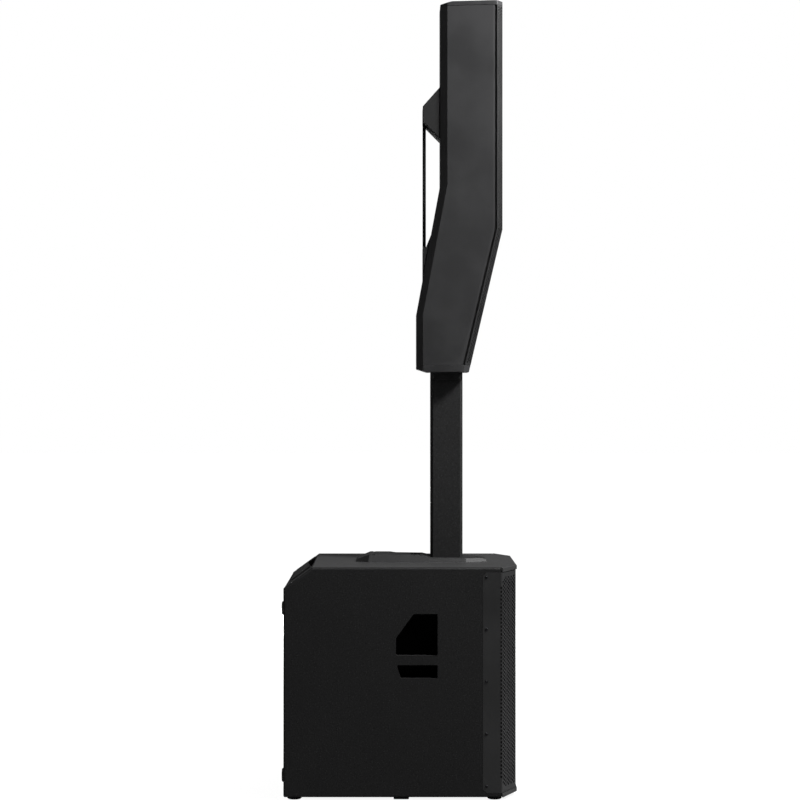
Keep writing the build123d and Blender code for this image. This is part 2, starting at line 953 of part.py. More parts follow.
def column_loft(low, high, inset):
    levels = column_levels(low, high)
    faces = []
    for z in levels:
        face = make_face(Polyline(*column_section(z, inset), close=True))
        faces.append(Pos(0, 0, z) * face)
    body = None
    for under, over in zip(faces, faces[1:]):
        piece = loft([under, over], ruled=True)
        body = piece if body is None else body + piece
    return body


def column_housing():
    """Rear and sides of the column, open at the front."""
    outer = column_loft(col_seam_z, col_cap_z, 0)
    hollow = column_loft(col_seam_z, col_cap_z, col_shell)
    seat = across(front_strip(col_seam_z, col_cap_z, -8, 5), -baffle_half, baffle_half)
    return outer - hollow - seat


def front_slope():
    return math.atan2(stations[4][3] - stations[2][3], stations[2][0] - stations[4][0])


def front_depth(z, ahead):
    """Y of a surface that runs parallel to the front, ahead of the front side edge."""
    bend = stations[2][0]
    vertical = stations[2][3] - ahead
    sloped = stations[2][3] - ahead / math.cos(front_slope()) + (bend - z) * math.tan(front_slope())
    return max(vertical, sloped) if z < bend else vertical


def bend_height(ahead):
    return stations[2][0] - ahead * math.tan(front_slope() / 2)


def front_strip(low, high, behind, ahead):
    """(Y, Z) outline of a layer that follows the bent front, between two offsets."""
    back_bend = bend_height(behind)
    face_bend = bend_height(ahead)
    return [
        (front_depth(high, ahead), high),
        (front_depth(high, ahead), face_bend),
        (front_depth(low, ahead), low),
        (front_depth(low, behind), low),
        (front_depth(high, behind), back_bend),
        (front_depth(high, behind), high),
    ]


def column_rim():
    """Frame that carries the column grille; its sides are set back as a shadow line."""
    low = col_seam_z
    high = col_cap_z
    web = across(front_strip(low, high, -1, front_groove), -groove_half, groove_half)
    lip = across(front_strip(low, high, front_groove - rim_lip, front_groove), -lip_half, lip_half)
    hole_half = groove_half - 8
    hole = across(front_strip(low + 8, high - 8, -2, front_groove + 3), -hole_half, hole_half)
    return web + lip - hole


def side_wedge(z_low, z_top, inset):
    """Space beside the sloping side of the column grille, lofted between two heights."""
    run = col_half_front - grille_nose_half
    faces = []
    for z in (z_low, z_top):
        start_y = front_depth(z, front_groove)
        end_y = front_depth(z, front_groove + grille_depth)
        corner = [
            (col_half_front - inset, start_y),
            (col_half_front + 20, start_y),
            (col_half_front + 20, end_y - 20),
            (col_half_front - run - inset * 0.5, end_y - 20),
            (col_half_front - run - inset * 0.5, end_y + inset),
        ]
        face = make_face(Polyline(*corner, close=True))
        faces.append(Pos(0, 0, z) * face)
    return loft(faces, ruled=True)


def grille_solid(inset, low, high):
    start = front_groove
    end = front_groove + grille_depth - inset
    body = across(front_strip(low, high, start, end), -col_half_front + inset, col_half_front - inset)
    bend = bend_height(end)
    for z_low, z_top in ((col_foot_z - 30, bend), (bend, col_top_z + 5)):
        wedge = side_wedge(z_low, z_top, inset)
        body = body - wedge - mirrored(wedge)
    return body


def column_grille():
    outer = grille_solid(0, col_seam_z, col_cap_z)
    inner = grille_solid(col_sheet, col_seam_z - 5, col_cap_z + 5)
    return outer - inner


def column_foam():
    low = col_seam_z + 4
    high = col_cap_z - 4
    back = front_groove + 5
    front = front_groove + grille_depth - col_sheet
    return across(front_strip(low, high, back, front), -grille_nose_half + 3.5, grille_nose_half - 3.5)


def cap_section(z):
    """Outline of the end caps, which run out over the grille."""
    rear, side, front = station_at(z)
    base = [
        (grille_nose_half, front_depth(z, front_groove + grille_depth)),
        (col_half_front, front_depth(z, front_groove)),
        (col_half_front, front + col_front_band),
        (col_half_side, side),
        (col_half_rear, rear),
    ]
    return base + [(-x, y) for x, y in reversed(base)]


def column_top_cap():
    cap = upward(cap_section(col_top_z), col_cap_z, col_top_z)
    rear = rear_depth(col_top_z)
    bevel = across([(rear + 1, col_top_z - 7), (rear - 30, col_top_z), (rear + 1, col_top_z + 1)], -80, 80)
    return cap - bevel


def column_bottom_cap():
    """Foot of the column, with a socket opening over the pole's spigot."""
    faces = []
    for z in (col_foot_z, col_seam_z):
        faces.append(Pos(0, 0, z) * make_face(Polyline(*cap_section(z), close=True)))
    cap = loft(faces, ruled=True)
    rear_cut = across([(-41, col_foot_z + 8.5), (-69, col_foot_z), (-41, col_foot_z - 2)], -80, 80)
    cap -= rear_cut
    cap -= spigot_block(slide_gap + sleeve_wall, col_foot_z - 1, col_seam_z + 1)
    return cap


def spigot_block(grow, low, high):
    return block(
        -spigot_half_x - grow,
        spigot_half_x + grow,
        pole_y - spigot_half_y - grow,
        pole_y + spigot_half_y + grow,
        low,
        high,
    )


def column_socket():
    sleeve = spigot_block(slide_gap + sleeve_wall, col_foot_z, spigot_high_z + 6)
    return sleeve - spigot_block(slide_gap, col_foot_z - 1, spigot_high_z + 1.2)


def column_baffle():
    low = spigot_high_z + 8
    plate = across(front_strip(low, col_cap_z, -8, -1), -baffle_half, baffle_half)
    for place in driver_places():
        plate -= place * Cylinder(driver_r - 6, 40)
    return plate


def driver_places():
    """Locations of the drivers, with local +Z out of the column's front."""
    places = []
    for i in range(upper_drivers):
        z = driver_first_z - i * driver_pitch
        places.append(Pos(0, front_depth(z, -1), z) * Rot(90, 0, 0))
    tilt = math.degrees(front_slope())
    for i in range(lower_drivers):
        z = bend_height(-1) - 54 - i * driver_pitch * math.cos(front_slope())
        places.append(Pos(0, front_depth(z, -1), z) * Rot(90 + tilt, 0, 0))
    return places


def revolved(points):
    face = Plane.XZ * make_face(Polyline(*points, close=True))
    return revolve(face, Axis.Z)


def driver_frame():
    """Small full-range driver: flange, conical frame and magnet in one casting."""
    depth = driver_depth
    shape = revolved(
        [
            (driver_cone_r + 4, 0),
            (driver_cone_r + 4, 2.5),
            (driver_r, 2.5),
            (driver_r, 0),
            (driver_r - 7, 0),
            (driver_r - 7, -8),
            (22, -depth + 16),
            (22, -depth),
            (0, -depth),
            (0, -depth + 10),
            (17, -depth + 10),
            (17, -depth + 19),
            (driver_cone_r + 4, -6),
        ]
    )
    return shape


def driver_cone():
    return revolved(
        [
            (driver_cone_r + 3.7, 0.8),
            (driver_cone_r + 3.7, 2.0),
            (driver_cone_r, 2.4),
            (14, -10),
            (0, -6),
            (0, -11),
            (12.5, -13.5),
            (12.5, -23),
            (14, -23),
            (15, -13),
            (driver_cone_r, 0.2),
        ]
    )


def crossover_board():
    """Filter board on four posts inside the column's rear wall, with its coil and capacitors."""
    back = station_at(1700)[0] - col_shell
    board = block(-34, 34, back - 12, back - 10, 1560, 1700)
    coil = block(-20, 4, back - 27, back - 12, 1580, 1610)
    capacitors = rod_y(11, back - 30, back - 12, 20, 1600) + rod_y(9, back - 28, back - 12, -14, 1660)
    posts = [rod_y(3, back - 10, back, x, z) for x in (-28, 28) for z in (1568, 1692)]
    return group([board, coil, capacitors] + posts)


# ---------------------------------------------------------------- column handle


def rear_depth(z):
    return station_at(z)[0]


def top_bracket():
    top_z, slope_z, grip_z, low_z = top_bracket_zs
    outline = [
        (rear_depth(top_z), top_z),
        (grip_outer_y, slope_z),
        (grip_outer_y, grip_z),
        (rear_depth(low_z), low_z),
    ]
    bracket = across(outline, -bracket_half_x, bracket_half_x)
    long_edges = [e for e in bracket.edges().filter_by(Axis.X) if e.center().Y > -80]
    return fillet(long_edges, 2.0)


def bottom_bracket():
    top_z, grip_z, slope_z, low_z = bottom_bracket_zs
    outline = [
        (rear_depth(top_z), top_z),
        (grip_inner_y, grip_z),
        (grip_outer_y, grip_z),
        (grip_outer_y, slope_z),
        (rear_depth(low_z), low_z),
    ]
    return across(outline, -bracket_half_x, bracket_half_x)


def column_grip():
    """Rubber hand bar between the brackets."""
    low = bottom_bracket_zs[1]
    outline = [(grip_inner_y, low), (grip_outer_y, low), (grip_outer_y, 1695.9), (grip_inner_y, 1687.6)]
    bar = across(outline, -grip_half_x, grip_half_x)
    return fillet(bar.edges().filter_by(Axis.Z), 2.5)


# ---------------------------------------------------------------- feet


def bottom_feet():
    feet = []
    for x in foot_xs:
        for y in foot_ys:
            foot = rod_z(foot_r, 0, foot_height, x, y)
            foot = chamfer(foot.edges().sort_by(Axis.Z)[0], 2.0)
            foot -= rod_z(6, -1, 4, x, y)
            feet.append(foot)
    return group(feet)


def foot_screws():
    return group([rod_z(5, 2, 4, x, y) for x in foot_xs for y in foot_ys])


def rear_feet():
    feet = []
    for x in foot_xs:
        for z in rear_foot_zs:
            foot = rod_y(rear_foot_r, rear_y, rear_y + rear_foot_height, x, z)
            foot = chamfer(foot.edges().sort_by(Axis.Y)[-1], 2.0)
            foot -= rod_y(5.5, rear_y + 5, rear_y + 10, x, z)
            feet.append(foot)
    return group(feet)


def rear_foot_screws():
    return group([rod_y(4.5, rear_y + 5, rear_y + 6.5, x, z) for x in foot_xs for z in rear_foot_zs])


def bottom_skids():
    skids = []
    for x in foot_xs:
        bar = block(x - 14, x + 14, skid_y - skid_half - 12, skid_y + skid_half + 12, 6, foot_height)
        pad = block(x - 14, x + 14, skid_y - skid_half, skid_y + skid_half, 0, 7)
        pad = chamfer(pad.faces().sort_by(Axis.Z)[0].edges(), 1.5)
        skids.append(bar + pad)
    return group(skids)


def skid_screws():
    screws = []
    for x in foot_xs:
        for y in (skid_y - skid_screw_offset, skid_y + skid_screw_offset):
            screws.append(rod_z(3.5, 3.5, 6, x, y))
    return group(screws)


def small_screws():
    """Screws of the feet, skids, pole base and woofer."""
    return group([foot_screws(), rear_foot_screws(), skid_screws(), pole_base_screws(), woofer_screws()])


drivers = driver_places()

save("side_panel_right", side_panel())
save("side_panel_left", mirrored(side_panel()))
save("top_panel", top_panel())
save("bottom_panel", bottom_panel())
save("rear_panel", rear_panel())
save("rear_corner_panel", rear_corner_panel())
save("rear_handle_cup", rear_handle_cup())
save("rear_carry_handle", rear_carry_handle())
save("front_baffle", front_baffle())
save("cabinet_brace", cabinet_brace())
save("bass_ports", bass_ports())
save("hand_cup_right", hand_cup())
save("hand_cup_left", mirrored(hand_cup()))
save("front_grille", front_grille())
save("grille_foam", grille_foam())
save("grille_screws", grille_screws())
save("cabinet_screws", small_screws())
save("rubber_feet", group([bottom_feet(), rear_feet(), bottom_skids()]))

save("woofer_basket", woofer_basket())
save("woofer_magnet", woofer_magnet())
save("woofer_surround", woofer_surround())
save("woofer_cone", woofer_cone())

save("amp_plate", amp_plate())
save("connector_plate", connector_plate())
save("amp_screws", amp_screws())
save("amp_heatsink", amp_heatsink())
save("amp_board", amp_board())
save("amp_board_posts", amp_board_posts())
save("amp_components", amp_components())
save("power_inlet", power_inlet())
save("socket_pins", group([inlet_pins(), link_pins()]))
save("link_sockets", link_sockets())
save("input_sockets", input_sockets())
save("power_switch_frame", power_switch_frame())
save("power_switch_rocker", power_switch_rocker())
save("level_knob", level_knob())
save("level_control", level_control())

save("pole_base", pole_base())
save("release_latch", release_latch())
save("latch_spring", latch_spring())
save("pole_socket", pole_socket())
save("pole_tube", pole_tube())
save("pole_foot", pole_foot())
save("pole_collar", pole_collar())
save("pole_contacts", pole_contacts())

save("column_housing", column_housing())
save("column_top_cap", column_top_cap())
save("column_bottom_cap", column_bottom_cap())
save("column_socket", column_socket())
save("column_rim", column_rim())
save("column_grille", column_grille())
save("column_foam", column_foam())
save("column_baffle", column_baffle())
save("crossover_board", crossover_board())
save("driver_frames", group([place * driver_frame() for place in drivers]))
save("upper_cones", group([place * driver_cone() for place in drivers[:upper_drivers]]))
save("lower_cones", group([place * driver_cone() for place in drivers[upper_drivers:]]))
save("column_top_bracket", top_bracket())
save("column_bottom_bracket", bottom_bracket())
save("column_grip", column_grip())
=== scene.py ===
import json
import math

import bmesh
import bpy
from mathutils import Matrix, Vector


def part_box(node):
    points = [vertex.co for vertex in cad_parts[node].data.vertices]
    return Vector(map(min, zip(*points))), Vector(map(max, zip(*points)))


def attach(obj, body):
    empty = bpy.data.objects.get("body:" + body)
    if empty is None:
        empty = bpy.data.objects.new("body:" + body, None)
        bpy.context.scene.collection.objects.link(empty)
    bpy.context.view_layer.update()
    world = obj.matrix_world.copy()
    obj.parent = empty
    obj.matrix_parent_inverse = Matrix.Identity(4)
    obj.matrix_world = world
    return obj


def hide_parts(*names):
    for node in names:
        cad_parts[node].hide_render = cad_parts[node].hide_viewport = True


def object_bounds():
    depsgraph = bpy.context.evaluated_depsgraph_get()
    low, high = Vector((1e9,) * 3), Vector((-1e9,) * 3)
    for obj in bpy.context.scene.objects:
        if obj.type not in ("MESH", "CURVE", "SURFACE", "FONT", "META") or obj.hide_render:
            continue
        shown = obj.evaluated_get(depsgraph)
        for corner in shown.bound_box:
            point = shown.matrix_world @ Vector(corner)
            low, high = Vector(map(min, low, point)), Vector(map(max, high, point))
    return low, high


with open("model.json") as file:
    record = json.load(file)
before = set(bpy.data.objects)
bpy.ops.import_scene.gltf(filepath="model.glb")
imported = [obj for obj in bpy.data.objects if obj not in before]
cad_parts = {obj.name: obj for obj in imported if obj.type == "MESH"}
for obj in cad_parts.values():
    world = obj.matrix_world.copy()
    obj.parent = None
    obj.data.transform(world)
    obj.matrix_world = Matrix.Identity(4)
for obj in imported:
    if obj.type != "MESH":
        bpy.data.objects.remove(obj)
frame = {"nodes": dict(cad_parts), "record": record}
cad_low, cad_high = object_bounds()
record = frame["record"]
body_of = {node: body for body, nodes in record["behaviour"]["bodies"].items() for node in nodes}
slot_of = {part["node"]: part["material_slot"] for part in record["subparts"]}
# Metres in the CAD frame: the front is -Y, the right is +X and the floor is at Z 0.
MM = 0.001

# ---------------------------------------------------------------- camera, lights, stage

camera_distance = 4.637
camera_height = 0.986
camera_side = 0.0072
camera_lens = 85.0
camera_shift = 0.00375
camera_sensor = 36.0
ambient = 0.08
far_wall = 0.11
wall_direction = (0.9, 0.43, 0.0)
wall_edge = 0.2
floor_size = 60
floor_grey = 0.22
floor_glow = (0.9, 1.0)
painted_floor_shade_reach = (0.9, 3.0)
fill_target = (0, 0, 0.6)
fill_size = (1.6, 0.8)
fill_power = 260


def add_camera():
    data = bpy.data.cameras.new("camera")
    data.lens = camera_lens
    data.sensor_width = camera_sensor
    data.shift_x = camera_shift
    camera = bpy.data.objects.new("camera", data)
    near_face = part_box("side_panel_left")[0].x
    camera.location = (near_face - camera_distance, camera_side, camera_height)
    camera.rotation_euler = (math.pi / 2, 0, -math.pi / 2)
    bpy.context.collection.objects.link(camera)
    bpy.context.scene.camera = camera


def add_light(name, place, target, size, power):
    data = bpy.data.lights.new(name, "AREA")
    data.shape = "RECTANGLE"
    data.size = size[0]
    data.size_y = size[1]
    data.energy = power
    light = bpy.data.objects.new(name, data)
    light.location = place
    direction = Vector(target) - Vector(place)
    light.rotation_euler = direction.to_track_quat("-Z", "Y").to_euler()
    bpy.context.collection.objects.link(light)
    return light


def add_fill(name, place):
    """A light that brightens the far side without a glare on what is seen edge-on."""
    light = add_light(name, place, target=fill_target, size=fill_size, power=fill_power)
    light.visible_glossy = False


def add_world():
    """White to the eye, but it lights the scene dimly, a little more from behind and the right."""
    world = bpy.data.worlds.new("studio")
    bpy.context.scene.world = world
    world.use_nodes = True
    tree = world.node_tree
    tree.nodes.clear()
    seen = tree.nodes.new("ShaderNodeBackground")
    seen.inputs["Color"].default_value = (1, 1, 1, 1)
    soft = tree.nodes.new("ShaderNodeBackground")
    direction = tree.nodes.new("ShaderNodeTexCoord")
    wall = tree.nodes.new("ShaderNodeVectorMath")
    wall.operation = "DOT_PRODUCT"
    wall.inputs[1].default_value = wall_direction
    strength = tree.nodes.new("ShaderNodeMapRange")
    strength.interpolation_type = "SMOOTHSTEP"
    strength.inputs["From Min"].default_value = wall_edge
    strength.inputs["To Min"].default_value = ambient
    strength.inputs["To Max"].default_value = far_wall
    tree.links.new(direction.outputs["Generated"], wall.inputs[0])
    tree.links.new(wall.outputs["Value"], strength.inputs["Value"])
    tree.links.new(strength.outputs["Result"], soft.inputs["Strength"])
    path = tree.nodes.new("ShaderNodeLightPath")
    mix = tree.nodes.new("ShaderNodeMixShader")
    output = tree.nodes.new("ShaderNodeOutputWorld")
    tree.links.new(path.outputs["Is Camera Ray"], mix.inputs["Fac"])
    tree.links.new(soft.outputs["Background"], mix.inputs[1])
    tree.links.new(seen.outputs["Background"], mix.inputs[2])
    tree.links.new(mix.outputs["Shader"], output.inputs["Surface"])


def add_floor():
    """Pale floor, glowing enough that it meets the white background; the glow is a little lower near the
    object, a painted shade round it that lets its cast shadow show.
    """
    bpy.ops.mesh.primitive_plane_add(size=floor_size, location=(0, 0, cad_low.z))
    floor = bpy.context.object
    floor.name = "floor"
    material = bpy.data.materials.new("floor")
    material.use_nodes = True
    tree = material.node_tree
    tree.nodes.clear()
    diffuse = tree.nodes.new("ShaderNodeBsdfDiffuse")
    diffuse.inputs["Color"].default_value = (floor_grey, floor_grey, floor_grey, 1)
    place = tree.nodes.new("ShaderNodeTexCoord")
    reach = tree.nodes.new("ShaderNodeVectorMath")
    reach.operation = "LENGTH"
    # Painted shade: the floor's glow rises with distance from the object, so the ground round the object is
    # a little darker.
    painted_floor_shade = tree.nodes.new("ShaderNodeMapRange")
    painted_floor_shade.inputs["From Min"].default_value = painted_floor_shade_reach[0]
    painted_floor_shade.inputs["From Max"].default_value = painted_floor_shade_reach[1]
    painted_floor_shade.inputs["To Min"].default_value = floor_glow[0]
    painted_floor_shade.inputs["To Max"].default_value = floor_glow[1]
    tree.links.new(place.outputs["Object"], reach.inputs[0])
    tree.links.new(reach.outputs["Value"], painted_floor_shade.inputs["Value"])
    path = tree.nodes.new("ShaderNodeLightPath")
    scale = tree.nodes.new("ShaderNodeMath")
    scale.operation = "MULTIPLY"
    tree.links.new(path.outputs["Is Camera Ray"], scale.inputs[0])
    tree.links.new(painted_floor_shade.outputs["Result"], scale.inputs[1])
    glow = tree.nodes.new("ShaderNodeEmission")
    tree.links.new(scale.outputs[0], glow.inputs["Strength"])
    add = tree.nodes.new("ShaderNodeAddShader")
    output = tree.nodes.new("ShaderNodeOutputMaterial")
    tree.links.new(diffuse.outputs[0], add.inputs[0])
    tree.links.new(glow.outputs[0], add.inputs[1])
    tree.links.new(add.outputs[0], output.inputs["Surface"])
    floor.data.materials.append(material)


def build_studio():
    add_camera()
    add_world()
    add_floor()
    add_light("key", (-0.95, -1.7, 3.0), target=(0, -0.1, 1.95), size=(0.5, 0.5), power=165)
    add_light("front", (-0.25, -3.2, 2.9), target=(0, 0, 1.2), size=(1.6, 1.6), power=52)
    add_light("side", (-4.0, -2.9, 4.2), target=(0, 0, 1.2), size=(3.0, 2.0), power=38)
    add_fill("right_fill", (3.9, 1.2, 0.6))
    add_fill("rear_fill", (3.2, 3.4, 0.6))
    bpy.context.scene.view_settings.view_transform = "Standard"


# ---------------------------------------------------------------- materials


class Finish:
    """A procedural material built up from a few layers in object coordinates."""

    def __init__(self, name, colour, roughness, metallic=0.0, specular=0.5):
        self.material = bpy.data.materials.new(name)
        self.material.use_nodes = True
        self.tree = self.material.node_tree
        self.shader = self.tree.nodes["Principled BSDF"]
        self.shader.inputs["Base Color"].default_value = (*colour, 1)
        self.shader.inputs["Roughness"].default_value = roughness
        self.shader.inputs["Metallic"].default_value = metallic
        self.shader.inputs["Specular IOR Level"].default_value = specular
        self.place = self.tree.nodes.new("ShaderNodeTexCoord").outputs["Object"]

    def stretched(self, scale):
        mapping = self.tree.nodes.new("ShaderNodeMapping")
        mapping.inputs["Scale"].default_value = scale
        self.tree.links.new(self.place, mapping.inputs["Vector"])
        return mapping.outputs["Vector"]

    def noise(self, scale, detail=3.0, roughness=0.55, place=None):
        node = self.tree.nodes.new("ShaderNodeTexNoise")
        node.inputs["Scale"].default_value = scale
        node.inputs["Detail"].default_value = detail
        node.inputs["Roughness"].default_value = roughness
        self.tree.links.new(place or self.place, node.inputs["Vector"])
        return node.outputs["Fac"]

    def cells(self, scale, feature="F1"):
        node = self.tree.nodes.new("ShaderNodeTexVoronoi")
        node.feature = feature
        node.inputs["Scale"].default_value = scale
        self.tree.links.new(self.place, node.inputs["Vector"])
        return node.outputs["Distance"]

    def span(self, value, low, high, to_low=0.0, to_high=1.0):
        node = self.tree.nodes.new("ShaderNodeMapRange")
        node.interpolation_type = "SMOOTHSTEP"
        node.inputs["From Min"].default_value = low
        node.inputs["From Max"].default_value = high
        node.inputs["To Min"].default_value = to_low
        node.inputs["To Max"].default_value = to_high
        self.tree.links.new(value, node.inputs["Value"])
        return node.outputs["Result"]

    def maths(self, operation, first, second):
        node = self.tree.nodes.new("ShaderNodeMath")
        node.operation = operation
        for socket, value in zip(node.inputs, (first, second)):
            if isinstance(value, (int, float)):
                socket.default_value = value
            else:
                self.tree.links.new(value, socket)
        return node.outputs["Value"]

    def blend(self, share, first, second):
        """Colour that runs from first to second as share goes from 0 to 1."""
        node = self.tree.nodes.new("ShaderNodeMix")
        node.data_type = "RGBA"
        self.tree.links.new(share, node.inputs["Factor"])
        for socket, value in ((node.inputs[6], first), (node.inputs[7], second)):
            if isinstance(value, tuple):
                socket.default_value = (*value, 1)
            else:
                self.tree.links.new(value, socket)
        return node.outputs[2]

    def set_colour(self, value):
        self.tree.links.new(value, self.shader.inputs["Base Color"])

    def set_roughness(self, value):
        self.tree.links.new(value, self.shader.inputs["Roughness"])

    def relief(self, height, depth, strength=1.0):
        node = self.tree.nodes.new("ShaderNodeBump")
        node.inputs["Strength"].default_value = strength
        node.inputs["Distance"].default_value = depth
        self.tree.links.new(height, node.inputs["Height"])
        previous = self.shader.inputs["Normal"].links
        if previous:
            self.tree.links.new(previous[0].from_socket, node.inputs["Normal"])
        self.tree.links.new(node.outputs["Normal"], self.shader.inputs["Normal"])


def shade(colour, factor):
    return tuple(min(1.0, channel * factor) for channel in colour)


def speckled_paint(name, colour, roughness, grain, depth, specular):
    """Structured paint: a pebbled skin, with painted shade in dark spots for its pits and painted highlights
    in a few pale glints.
    """
    finish = Finish(name, colour, roughness, specular=specular)
    pebbles = finish.cells(grain, "SMOOTH_F1")
    fine = finish.noise(grain * 2.2, 4.0)
    pit_shade_and_glint_noise = finish.noise(grain * 0.8, 1.0, 0.4)
    cloud = finish.noise(6.0, 2.0)
    # Painted shade: dark spots in the colour stand for shade in the pits of the paint.
    painted_pit_shade = finish.span(pit_shade_and_glint_noise, 0.3, 0.42)
    # Painted highlights: pale spots in the colour stand for glints on the paint's skin.
    painted_glints = finish.span(pit_shade_and_glint_noise, 0.62, 0.72)
    patched = finish.blend(finish.span(cloud, 0.3, 0.7), shade(colour, 0.96), shade(colour, 1.1))
    with_painted_pit_shade = finish.blend(painted_pit_shade, shade(colour, 0.35), patched)
    finish.set_colour(finish.blend(painted_glints, with_painted_pit_shade, shade(colour, 2.4)))
    finish.set_roughness(finish.span(fine, 0.2, 0.8, roughness - 0.1, roughness + 0.12))
    finish.relief(pebbles, depth)
    finish.relief(fine, depth * 0.5)
    return finish.material


def satin_paint(name, colour, roughness):
    """Smooth powder coat with faint orange peel, slow cloudiness and upright scuffs."""
    finish = Finish(name, colour, roughness)
    peel = finish.noise(420.0, 3.0)
    cloud = finish.noise(9.0, 4.0)
    scuff = finish.span(finish.noise(55.0, 6.0, 0.7, finish.stretched((1.0, 1.0, 0.12))), 0.62, 0.78)
    base = finish.blend(finish.span(cloud, 0.3, 0.7), shade(colour, 0.9), shade(colour, 1.1))
    finish.set_colour(finish.blend(finish.maths("MULTIPLY", scuff, 0.22), base, shade(colour, 1.8)))
    mark = finish.maths("MULTIPLY", scuff, 0.07)
    uneven = finish.span(cloud, 0.3, 0.7, roughness - 0.04, roughness + 0.04)
    finish.set_roughness(finish.maths("ADD", uneven, mark))
    finish.relief(peel, 0.00006, 0.7)
    return finish.material


def moulded_plastic(name, colour, roughness, grain=900.0, depth=0.00008, specular=0.4):
    """Moulding with a fine leathery grain and a little dust."""
    finish = Finish(name, colour, roughness, specular=specular)
    leather = finish.cells(grain, "SMOOTH_F1")
    dust = finish.noise(26.0, 5.0, 0.65)
    finish.set_colour(finish.blend(finish.span(dust, 0.35, 0.7), shade(colour, 0.88), shade(colour, 1.18)))
    finish.set_roughness(finish.span(leather, 0.0, 0.8, roughness + 0.08, roughness - 0.05))
    finish.relief(leather, depth)
    return finish.material


def rubber(name, colour):
    finish = Finish(name, colour, 0.78, specular=0.3)
    skin = finish.noise(1400.0, 3.0)
    dust = finish.span(finish.noise(38.0, 6.0, 0.7), 0.5, 0.8)
    finish.set_colour(finish.blend(finish.maths("MULTIPLY", dust, 0.25), colour, shade(colour, 2.0)))
    finish.set_roughness(finish.span(dust, 0.0, 1.0, 0.74, 0.9))
    finish.relief(skin, 0.00005)
    return finish.material


def acoustic_foam(name, colour):
    finish = Finish(name, colour, 0.95, specular=0.1)
    pore_bumps_and_shade = finish.cells(650.0)
    # Painted shade: the colour darkens towards each pore's middle, standing for shade inside the pores, and
    # is lighter on the rims between them; the same cells give the bump.
    finish.set_colour(finish.blend(finish.span(pore_bumps_and_shade, 0.05, 0.6), shade(colour, 0.3), shade(colour, 1.5)))
    finish.relief(pore_bumps_and_shade, 0.0006)
    return finish.material


def bare_metal(name, colour, roughness, stroke=(1.0, 1.0, 1.0)):
    finish = Finish(name, colour, roughness, metallic=1.0)
    brushed = finish.noise(700.0, 4.0, 0.6, finish.stretched(stroke))
    finish.set_colour(finish.blend(finish.span(brushed, 0.3, 0.7), shade(colour, 0.82), shade(colour, 1.12)))
    finish.set_roughness(finish.span(brushed, 0.3, 0.7, roughness - 0.06, roughness + 0.1))
    finish.relief(brushed, 0.00003, 0.6)
    return finish.material


def sawn_board(name, colour):
    """Black-stained plywood: long grain under a thin stain."""
    finish = Finish(name, colour, 0.8, specular=0.25)
    grain = finish.noise(180.0, 6.0, 0.65, finish.stretched((1.0, 1.0, 0.05)))
    finish.set_colour(finish.blend(finish.span(grain, 0.35, 0.65), shade(colour, 0.6), shade(colour, 1.5)))
    finish.relief(grain, 0.0002)
    return finish.material


def printed_board(name, colour):
    finish = Finish(name, colour, 0.35)
    tracks = finish.cells(190.0, "DISTANCE_TO_EDGE")
    finish.set_colour(finish.blend(finish.span(tracks, 0.02, 0.08), shade(colour, 1.8), colour))
    finish.relief(tracks, 0.00005)
    return finish.material


def paper(name, colour):
    finish = Finish(name, colour, 0.85, specular=0.2)
    fibres = finish.noise(900.0, 6.0, 0.7)
    finish.set_colour(finish.blend(finish.span(fibres, 0.35, 0.65), shade(colour, 0.7), shade(colour, 1.4)))
    finish.relief(fibres, 0.0001)
    return finish.material


def lamp_lens(name, colour):
    finish = Finish(name, colour, 0.15)
    frost = finish.noise(1500.0, 2.0)
    finish.set_colour(finish.blend(finish.span(frost, 0.3, 0.7), shade(colour, 0.8), colour))
    finish.shader.inputs["Emission Color"].default_value = (*colour, 1)
    finish.shader.inputs["Emission Strength"].default_value = 0.6
    finish.relief(frost, 0.00002)
    return finish.material


